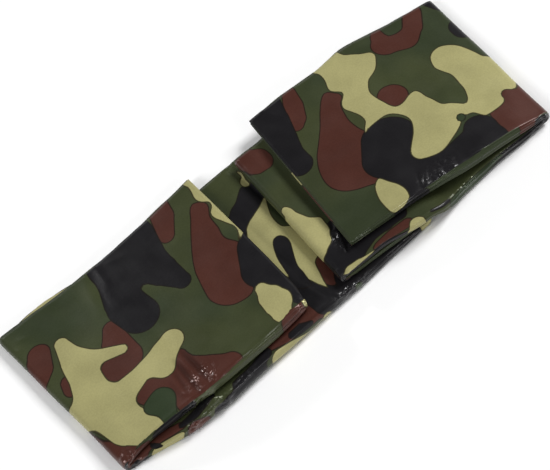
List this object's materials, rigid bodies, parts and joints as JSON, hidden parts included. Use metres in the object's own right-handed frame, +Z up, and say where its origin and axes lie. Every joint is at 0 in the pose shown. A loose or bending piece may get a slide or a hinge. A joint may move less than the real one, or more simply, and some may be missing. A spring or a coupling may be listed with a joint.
{
  "type": "emergency sleeping bag",
  "caption": "Emergency sleeping bag of printed plastic film, folded into a strip and laid back and forth in two low blocks.",
  "frame": {"origin": "middle of the folded bag's outline, on the surface it lies on", "axes": "+X along the folded strip towards the block with the turned end panel, +Y across the strip towards its open side, +Z up"},
  "size_m": [0.339, 0.1328, 0.0224],
  "materials": {
    "printed_film": "thin printed plastic film with a satin gloss, in a green, brown, black and tan woodland camouflage"
  },
  "bodies": {
    "root": {"folded_bag": "printed_film"}
  },
  "joints": []
}
